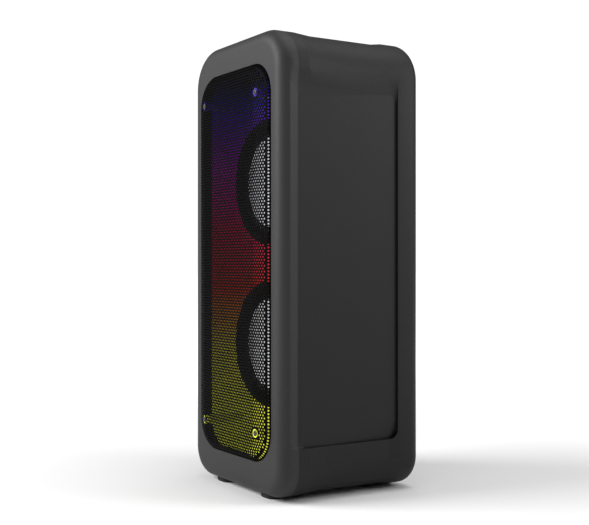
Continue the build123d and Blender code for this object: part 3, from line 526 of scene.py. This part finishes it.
def inside(x, y, half_width, half_height, radius):
    """Whether a point is inside a rounded rectangle."""
    over_x = max(abs(x) - half_width + radius, 0)
    over_y = max(abs(y) - half_height + radius, 0)
    round_corner = over_x * over_x + over_y * over_y < radius * radius
    return round_corner and abs(x) < half_width and abs(y) < half_height


# ---- Shell, feet and fittings ----
class SPEAKER_OT_shell(bpy.types.Operator):
    """Gives the moulded housing, its panels and its feet smooth curves and their finishes"""
    bl_idname = "speaker.shell"
    bl_label = "Shell"

    def execute(self, context):
        smooth_copy("front_frame", FINISHES["front_plastic"], SHELL_SHARP)
        nodes = ("cabinet", "rear_panel", *FEET, "control_panel", "connection_panel", "grip_cup", "bass_port")
        for node in nodes:
            smooth_copy(node, FINISHES[SLOT_OF[node]], SHELL_SHARP)
        return {"FINISHED"}


# ---- Grille ----
EDGE_INSET = 0.25 * MM       # keeps the pressed sheet's edge on the form
FIXING_REACH = 20 * MM       # holds one screw when measured from the corner of their common box
CELL_REACH = 0.62            # how far a cell reaches from its middle, as a share of the pitch
CELL_JOIN = 0.05 * MM        # joins neighbouring cells
FILL_TURN = 0.37             # radians by which the sheet is turned while it is filled
PRESS_GAP = 10 * MM          # how far in front of the form the sheet starts
FIXING_SIDES = 24
GRILLE_SHARP = 40


def fixing_places():
    """The middle of each grille screw as (x, z), in metres."""
    bm = bmesh.new()
    bm.from_mesh(frame["nodes"]["grille_screws"].data)
    low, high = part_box("grille_screws")
    places = []
    for side in (low.x, high.x):
        for end in (low.z, high.z):
            gaps = [(vert.co, abs(vert.co.x - side), abs(vert.co.z - end)) for vert in bm.verts]
            near = [co for co, aside, along in gaps if max(aside, along) < FIXING_REACH]
            xs, zs = [co.x for co in near], [co.z for co in near]
            places.append(((min(xs) + max(xs)) / 2, (min(zs) + max(zs)) / 2))
    bm.free()
    return places


class SPEAKER_OT_grille(bpy.types.Operator):
    """Perforates a flat sheet, presses it to the grille's form and gives it its flange and thickness"""
    bl_idname = "speaker.grille"
    bl_label = "Grille"

    def execute(self, context):
        self.grille = settings("grille")
        self.low, self.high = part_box("grille")
        self.half_width = (self.high.x - self.low.x) / 2
        self.half_height = (self.high.z - self.low.z) / 2
        self.middle = (self.low + self.high) / 2
        self.row = self.grille.pitch * sqrt(3) / 2
        self.fixings = [Vector((x, z - self.middle.z)) for x, z in fixing_places()]
        sheet = self.perforate()
        self.fill_border(sheet)
        self.press(sheet)
        self.turn_flange(sheet)
        pieces = self.cut_in_three(sheet)
        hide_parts("grille")
        return {"FINISHED"}

    def sizes(self, inset):
        """Half the width, half the height and the corner radius of the sheet's outline moved inwards."""
        return self.half_width - inset, self.half_height - inset, self.grille.corner - inset

    def within(self, place, inset):
        return inside(place.x, place.z - self.middle.z, *self.sizes(inset))

    def cell(self):
        """One hexagon of sheet with a hole in it, at the middle."""
        grille = self.grille
        bm = bmesh.new()
        bmesh.ops.create_circle(bm, segments=6, radius=grille.pitch / sqrt(3))
        bmesh.ops.create_circle(bm, segments=grille.sides, radius=grille.hole / 2)
        bmesh.ops.triangle_fill(bm, edges=bm.edges, use_beauty=True, normal=(0, 0, 1))
        return bm

    def perforate(self):
        """Rows of cells, staggered, as one sheet, without those that come too near the edge or a fixing."""
        pitch = self.grille.pitch
        columns = ceil(self.half_width / pitch)
        rows = ceil(self.half_height / self.row)
        bm = self.cell()
        cell = bm.verts[:] + bm.edges[:] + bm.faces[:]
        for column in range(-columns, columns + 1):
            if column:
                self.repeat(bm, cell, (column * pitch, 0, 0))
        line = bm.verts[:] + bm.edges[:] + bm.faces[:]
        for row in range(-rows, rows + 1):
            if row:
                self.repeat(bm, line, (row % 2 * pitch / 2, row * self.row, 0))
        spare = [face for face in bm.faces if not self.keeps(face.calc_center_median())]
        bmesh.ops.delete(bm, geom=spare, context="FACES")
        bmesh.ops.remove_doubles(bm, verts=bm.verts, dist=CELL_JOIN)
        return bm

    def repeat(self, bm, geometry, step):
        copy = bmesh.ops.duplicate(bm, geom=geometry)["geom"]
        verts = [item for item in copy if isinstance(item, bmesh.types.BMVert)]
        bmesh.ops.translate(bm, verts=verts, vec=step)

    def hole_middle(self, place):
        """The middle of the cell that a point of the flat sheet belongs to."""
        pitch = self.grille.pitch
        best = None
        for row in (round(place.y / self.row) + step for step in (-1, 0, 1)):
            shift = row % 2 * pitch / 2
            middle = Vector((round((place.x - shift) / pitch) * pitch + shift, row * self.row))
            gap = (middle - place.xy).length
            if best is None or gap < best[0]:
                best = gap, middle
        return best[1]

    def keeps(self, place):
        middle = self.hole_middle(place)
        if not inside(*middle, *self.sizes(self.grille.margin)):
            return False
        clear = self.grille.fixing + self.grille.pitch * CELL_REACH
        return all((middle - fixing).length > clear for fixing in self.fixings)

    def fill_border(self, bm):
        """The sheet between the rows and its edge, with one row of holes along it, and round the fixings."""
        grille = self.grille
        rim = [edge for edge in bm.edges if edge.is_boundary and edge.calc_length() > grille.hole / 2]
        known = set(bm.edges)
        self.add_openings(bm)
        rounded_loop(bm, *self.sizes(EDGE_INSET), grille.pitch / 2)
        edges = rim + [edge for edge in bm.edges if edge not in known]
        # The fill goes wrong where points are level with each other, so the sheet is turned a little for it.
        turn = Matrix.Rotation(FILL_TURN, 4, "Z")
        bmesh.ops.transform(bm, matrix=turn, verts=bm.verts)
        bmesh.ops.triangle_fill(bm, edges=edges, use_beauty=True, normal=(0, 0, 1))
        bmesh.ops.transform(bm, matrix=turn.inverted(), verts=bm.verts)

    def add_openings(self, bm):
        """The outlines of the row of holes along the edge and of the openings round the fixings."""
        grille = self.grille
        row = bmesh.new()
        places = [vert.co.copy() for vert in rounded_loop(row, *self.sizes(grille.border), grille.pitch)]
        row.clear()
        for place in places:
            spot = Matrix.Translation(place)
            bmesh.ops.create_circle(row, segments=grille.sides, radius=grille.hole / 2, matrix=spot)
        for fixing in self.fixings:
            spot = Matrix.Translation(fixing.to_3d())
            bmesh.ops.create_circle(row, segments=FIXING_SIDES, radius=grille.fixing, matrix=spot)
        mesh = bpy.data.meshes.new("openings")
        row.to_mesh(mesh)
        row.free()
        bm.from_mesh(mesh)
        bpy.data.meshes.remove(mesh)

    def press(self, bm):
        """Stands the sheet up and lays it on the grille's form, along the way it faces."""
        bmesh.ops.transform(bm, matrix=Matrix.Translation((0, 0, self.middle.z)) @ TO_FRONT, verts=bm.verts)
        form = bmesh.new()
        form.from_mesh(frame["nodes"]["grille"].data)
        tree = BVHTree.FromBMesh(form)
        for vert in bm.verts:
            start = Vector((vert.co.x, self.low.y - PRESS_GAP, vert.co.z))
            hit = tree.ray_cast(start, Vector((0, 1, 0)))[0]
            vert.co.y = hit.y if hit else self.low.y
        form.free()

    def turn_flange(self, bm):
        """The strip that runs back from the sheet's edge into the opening."""
        edges = [edge for edge in bm.edges if edge.is_boundary]
        edges = [edge for edge in edges if not self.within(edge.verts[0].co, 2 * EDGE_INSET)]
        made = bmesh.ops.extrude_edge_only(bm, edges=edges)["geom"]
        back = [item for item in made if isinstance(item, bmesh.types.BMVert)]
        bmesh.ops.translate(bm, verts=back, vec=(0, self.grille.flange, 0))
        bmesh.ops.recalc_face_normals(bm, faces=bm.faces)

    def cut_in_three(self, bm):
        """Three pieces, cut between rows, each with its thickness."""
        third = self.half_height / 3
        levels = [self.low.z - 1, self.middle.z - third, self.middle.z + third, self.high.z + 1]
        pieces = []
        for name, low, high in zip(("lower", "middle", "upper"), levels, levels[1:]):
            part = bm.copy()
            spare = [face for face in part.faces if not low <= self.level(face) < high]
            bmesh.ops.delete(part, geom=spare, context="FACES")
            bmesh.ops.solidify(part, geom=part.faces, thickness=self.grille.sheet)
            finish = FINISHES["grille_steel"]
            pieces.append(finished(f"grille_{name}", part, "housing", "grille_steel", finish, GRILLE_SHARP))
        bm.free()
        return pieces

    def level(self, face):
        """The height of the row of holes that a face belongs to."""
        return round((face.calc_center_median().z - self.middle.z) / self.row) * self.row + self.middle.z


# ---- Woofers ----
class SPEAKER_OT_woofers(bpy.types.Operator):
    """Smooths what shows of each woofer, and lights its cone"""
    bl_idname = "speaker.woofers"
    bl_label = "Woofers"

    def execute(self, context):
        for woofer in WOOFERS:
            smooth_copy(f"{woofer}_cone", cone_finish(woofer), ROUND_SHARP)
            smooth_copy(f"{woofer}_surround", FINISHES["rubber"], ROUND_SHARP)
            smooth_copy(f"{woofer}_dust_cap", FINISHES["cap_plastic"], ROUND_SHARP)
        return {"FINISHED"}


# ---- Screws and sockets ----
# The size of a recess as shares of its head's radius.
RECESS_LENGTH = 1.25
RECESS_DEPTH = 0.7
RECESS_WIDTH = 0.3
RECESS_TAPER = 0.5           # the bottom's size as a share of the mouth's


def shells(bm):
    """The vertices of each separate shell of a mesh."""
    seen = set()
    for start in bm.verts:
        if start in seen:
            continue
        seen.add(start)
        shell, queue = [], [start]
        while queue:
            vert = queue.pop()
            shell.append(vert)
            near = [edge.other_vert(vert) for edge in vert.link_edges]
            near = [other for other in near if other not in seen]
            seen.update(near)
            queue.extend(near)
        yield shell


class SPEAKER_OT_fittings(bpy.types.Operator):
    """Cuts a cross recess into each screw head that shows, and smooths the sockets"""
    bl_idname = "speaker.fittings"
    bl_label = "Screws and sockets"

    def execute(self, context):
        self.recess("rear_screws", 1)
        self.recess("grille_screws", -1)
        for node in ("mic_socket_1", "mic_socket_2", "aux_socket", "power_inlet", "usb_socket"):
            smooth_copy(node, FINISHES[SLOT_OF[node]])
        return {"FINISHED"}

    def recess(self, node, way):
        """Cuts the recesses into heads that face back, or forwards where way is -1."""
        piece = smooth_copy(node, FINISHES[SLOT_OF[node]])
        tool = self.tool(piece.data, way)
        cut = piece.modifiers.new("recess", "BOOLEAN")
        cut.object = tool
        cut.solver = "EXACT"
        cut.use_self = True
        bpy.context.view_layer.update()
        made = piece.evaluated_get(bpy.context.evaluated_depsgraph_get())
        mesh = bpy.data.meshes.new_from_object(made)
        piece.modifiers.clear()
        piece.data = mesh
        mesh.set_sharp_from_angle(angle=radians(SHARP))
        bpy.data.objects.remove(tool)

    def tool(self, mesh, way):
        """Crossed bars, narrower at the bottom, at the middle of each head."""
        heads = bmesh.new()
        heads.from_mesh(mesh)
        bm = bmesh.new()
        for shell in shells(heads):
            xs, ys, zs = zip(*[vert.co for vert in shell])
            radius = (max(xs) - min(xs)) / 2
            face = Vector(((max(xs) + min(xs)) / 2, max(ys) if way > 0 else min(ys), (max(zs) + min(zs)) / 2))
            shape = Matrix.Diagonal((RECESS_LENGTH * radius, RECESS_DEPTH * radius, RECESS_WIDTH * radius, 1))
            for turn in (pi / 4, -pi / 4):
                spot = Matrix.Translation(face) @ Matrix.Rotation(turn, 4, "Y") @ shape
                bar = bmesh.ops.create_cube(bm, size=1, matrix=spot)["verts"]
                bottom = [vert for vert in bar if (vert.co.y - face.y) * way < 0]
                taper = (RECESS_TAPER, 1, RECESS_TAPER)
                bmesh.ops.scale(bm, vec=taper, verts=bottom, space=Matrix.Translation(-face))
        heads.free()
        made = bpy.data.meshes.new("recess_tool")
        bm.to_mesh(made)
        bm.free()
        tool = bpy.data.objects.new("recess_tool", made)
        bpy.context.scene.collection.objects.link(tool)
        return tool


# ---- Keys ----
ARC_STEPS = 5                # straight pieces in each radian of an arc


class SPEAKER_OT_keys(bpy.types.Operator):
    """Smooths the keys and stands a plain symbol on each of them"""
    bl_idname = "speaker.keys"
    bl_label = "Keys"

    def execute(self, context):
        self.line = settings("keys").line
        self.raised = settings("keys").raised
        symbols = {
            "power_key": self.power, "pair_key": self.waves, "volume_down_key": self.minus, "play_key": self.play,
            "volume_up_key": self.plus, "light_key": self.lamp, "bass_key": self.drum,
        }
        for node, draw in symbols.items():
            smooth_copy(node, FINISHES["key_rubber"], ROUND_SHARP)
            low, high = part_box(node)
            bm = bmesh.new()
            draw(bm)
            bmesh.ops.recalc_face_normals(bm, faces=bm.faces)
            middle = (low + high) / 2
            bmesh.ops.translate(bm, verts=bm.verts, vec=(middle.x, middle.y, high.z))
            finished(f"{node}_symbol", bm, BODY_OF[node], "key_rubber", FINISHES["key_print"])
        return {"FINISHED"}

    def bar(self, bm, size, place=(0, 0), turn=0.0):
        """An upright or lying bar of this length, centred on a place and turned about it."""
        spot = Matrix.Translation((*place, 0)) @ Matrix.Rotation(turn, 4, "Z")
        shape = Matrix.Diagonal((size, self.line, 2 * self.raised, 1))
        bmesh.ops.create_cube(bm, size=1, matrix=spot @ shape)

    def arc(self, bm, radius, start=0.0, sweep=2 * pi, place=(0, 0)):
        """A flat ring, or part of one, from an angle measured from the symbol's right."""
        spot = Matrix.Translation((radius, 0, 0)) @ Matrix.Rotation(pi / 2, 4, "X")
        shape = Matrix.Diagonal((self.line, 2 * self.raised, 1, 1))
        whole = sweep > 6
        profile = bmesh.ops.create_grid(bm, x_segments=1, y_segments=1, size=0.5, matrix=spot @ shape)["verts"]
        faces = around(profile, "link_faces")
        edges = around(profile, "link_edges")
        bmesh.ops.rotate(bm, verts=profile, matrix=Matrix.Rotation(start, 3, "Z"))
        if whole:
            bmesh.ops.delete(bm, geom=faces, context="FACES_ONLY")
        known = set(bm.verts) - set(profile)
        bmesh.ops.spin(
            bm, geom=profile + edges + ([] if whole else faces), axis=(0, 0, 1), angle=sweep,
            steps=max(6, round(sweep * ARC_STEPS)), use_merge=whole,
        )
        bmesh.ops.translate(bm, verts=[vert for vert in bm.verts if vert not in known], vec=(*place, 0))

    def power(self, bm):
        self.arc(bm, 2.7 * MM, radians(125), radians(290))
        self.bar(bm, 3.0 * MM, (0, 2.0 * MM), pi / 2)

    def waves(self, bm):
        for radius in (1.5 * MM, 3.0 * MM):
            self.arc(bm, radius, radians(-42), radians(84), (-1.0 * MM, 0))
        self.arc(bm, 0.45 * MM, place=(-1.0 * MM, 0))

    def minus(self, bm):
        self.bar(bm, 5.0 * MM)

    def plus(self, bm):
        self.bar(bm, 5.0 * MM)
        self.bar(bm, 5.0 * MM, turn=pi / 2)

    def play(self, bm):
        spot = Matrix.Translation((-1.5 * MM, 0, -self.raised)) @ Matrix.Rotation(-pi / 2, 4, "Z")
        made = bmesh.ops.create_circle(bm, cap_ends=True, segments=3, radius=2.0 * MM, matrix=spot)["verts"]
        lid = bmesh.ops.extrude_face_region(bm, geom=around(made, "link_faces"))["geom"]
        verts = [item for item in lid if isinstance(item, bmesh.types.BMVert)]
        bmesh.ops.translate(bm, verts=verts, vec=(0, 0, 2 * self.raised))
        for x in (1.4 * MM, 2.8 * MM):
            self.bar(bm, 3.6 * MM, (x, 0), pi / 2)

    def lamp(self, bm):
        self.arc(bm, 1.5 * MM)
        for i in range(8):
            turn = i * pi / 4
            self.bar(bm, 1.1 * MM, (3.2 * MM * cos(turn), 3.2 * MM * sin(turn)), turn)

    def drum(self, bm):
        for radius in (0.7 * MM, 1.9 * MM, 3.2 * MM):
            self.arc(bm, radius)


# ---- Stage ----
# Each light's place, side and power.
LIGHTS = {
    "front_light": ((-1.2, -2.6, 1.8), 2.0, 130),
    "top_light": ((0.5, 0.4, 2.6), 2.0, 34),
    "side_light": ((1.4, 1.4, 1.25), 0.9, 17),
}
SKY_LIGHT = 0.18             # brightness of the sky as a light
SKY_SEEN = 1.05              # brightness of the sky behind the speaker


def area_light(name, aim, place, side, power):
    """A square light at a place, turned towards an aim."""
    data = bpy.data.lights.new(name, "AREA")
    data.size = side
    data.energy = power
    light = bpy.data.objects.new(name, data)
    light.location = place
    light.rotation_euler = (Vector(aim) - Vector(place)).to_track_quat("-Z", "Y").to_euler()
    bpy.context.scene.collection.objects.link(light)


class SPEAKER_OT_stage(bpy.types.Operator):
    """Makes the floor, the lights and the camera"""
    bl_idname = "speaker.stage"
    bl_label = "Stage"

    def execute(self, context):
        stage = settings("stage")
        low, high = cad_bounds
        middle = (low + high) / 2
        self.make_floor(stage)
        self.make_camera(stage, middle)
        for name, values in LIGHTS.items():
            area_light(name, middle, *values)
        self.make_sky(context.scene)
        return {"FINISHED"}

    def make_floor(self, stage):
        bm = bmesh.new()
        bmesh.ops.create_grid(bm, x_segments=8, y_segments=8, size=stage.floor_size / 2)
        mesh = bpy.data.meshes.new("floor")
        bm.to_mesh(mesh)
        bm.free()
        finish = Finish("floor")
        grain = finish.noise(4 * MM, 3.0)
        away = finish.add("ShaderNodeVectorMath", {"operation": "LENGTH"}, finish.place)["Value"]
        mesh.materials.append(finish.close(
            Base_Color=finish.shade(tuple(stage.floor), 0.98 + grain * 0.04),
            Roughness=0.8 + (grain - 0.5) * 0.1,
            Emission_Color=finish.shade((1, 1, 1), away.over(stage.glow_start, stage.glow_full)),
            Emission_Strength=stage.glow,
        ))
        floor = bpy.data.objects.new("floor", mesh)
        bpy.context.scene.collection.objects.link(floor)
        floor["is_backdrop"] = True

    def make_camera(self, stage, middle):
        data = bpy.data.cameras.new("camera")
        data.lens = stage.lens
        data.shift_y = stage.rise
        camera = bpy.data.objects.new("camera", data)
        place = Vector((stage.aside, -stage.ahead, middle.z))
        camera.location = place
        camera.rotation_euler = (pi / 2, 0, stage.azimuth)
        bpy.context.scene.collection.objects.link(camera)
        bpy.context.scene.camera = camera

    def make_sky(self, scene):
        """Plain white, and dimmer as a light than it looks."""
        world = bpy.data.worlds.new("studio")
        world.use_nodes = True
        tree = world.node_tree
        back = tree.nodes["Background"]
        path = tree.nodes.new("ShaderNodeLightPath")
        power = tree.nodes.new("ShaderNodeMapRange")
        tree.links.new(path.outputs["Is Camera Ray"], power.inputs["Value"])
        power.inputs["To Min"].default_value = SKY_LIGHT
        power.inputs["To Max"].default_value = SKY_SEEN
        tree.links.new(power.outputs["Result"], back.inputs["Strength"])
        back.inputs["Color"].default_value = (1, 1, 1, 1)
        scene.world = world
        scene.view_settings.view_transform = "Standard"


# ---- Panel and running order ----
OPERATORS = (
    SPEAKER_OT_finishes, SPEAKER_OT_shell, SPEAKER_OT_grille, SPEAKER_OT_woofers, SPEAKER_OT_fittings,
    SPEAKER_OT_keys, SPEAKER_OT_stage,
)


class SPEAKER_PT_build(bpy.types.Panel):
    """The speaker's pieces in the order in which they are made"""
    bl_label = "Speaker"
    bl_idname = "SPEAKER_PT_build"
    bl_space_type = "VIEW_3D"
    bl_region_type = "UI"
    bl_category = "Speaker"

    def draw(self, context):
        layout = self.layout
        for group in SETTINGS:
            box = layout.box()
            for name in SETTINGS[group].__annotations__:
                box.prop(getattr(context.scene, group), name)
        for operator in OPERATORS:
            layout.operator(operator.bl_idname)


def register():
    for kind in (*SETTINGS.values(), *OPERATORS, SPEAKER_PT_build):
        bpy.utils.register_class(kind)
    for name, kind in SETTINGS.items():
        setattr(bpy.types.Scene, name, PointerProperty(type=kind))


def unregister():
    for name in SETTINGS:
        delattr(bpy.types.Scene, name)
    for kind in reversed((*SETTINGS.values(), *OPERATORS, SPEAKER_PT_build)):
        bpy.utils.unregister_class(kind)


def main():
    register()
    for operator in OPERATORS:
        group, name = operator.bl_idname.split(".")
        getattr(getattr(bpy.ops, group), name)()
    boxes = {"cad": cad_bounds, "visual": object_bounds()}
    {name: [list(corner) for corner in box] for name, box in boxes.items()}


if __name__ == "__main__":
    main()
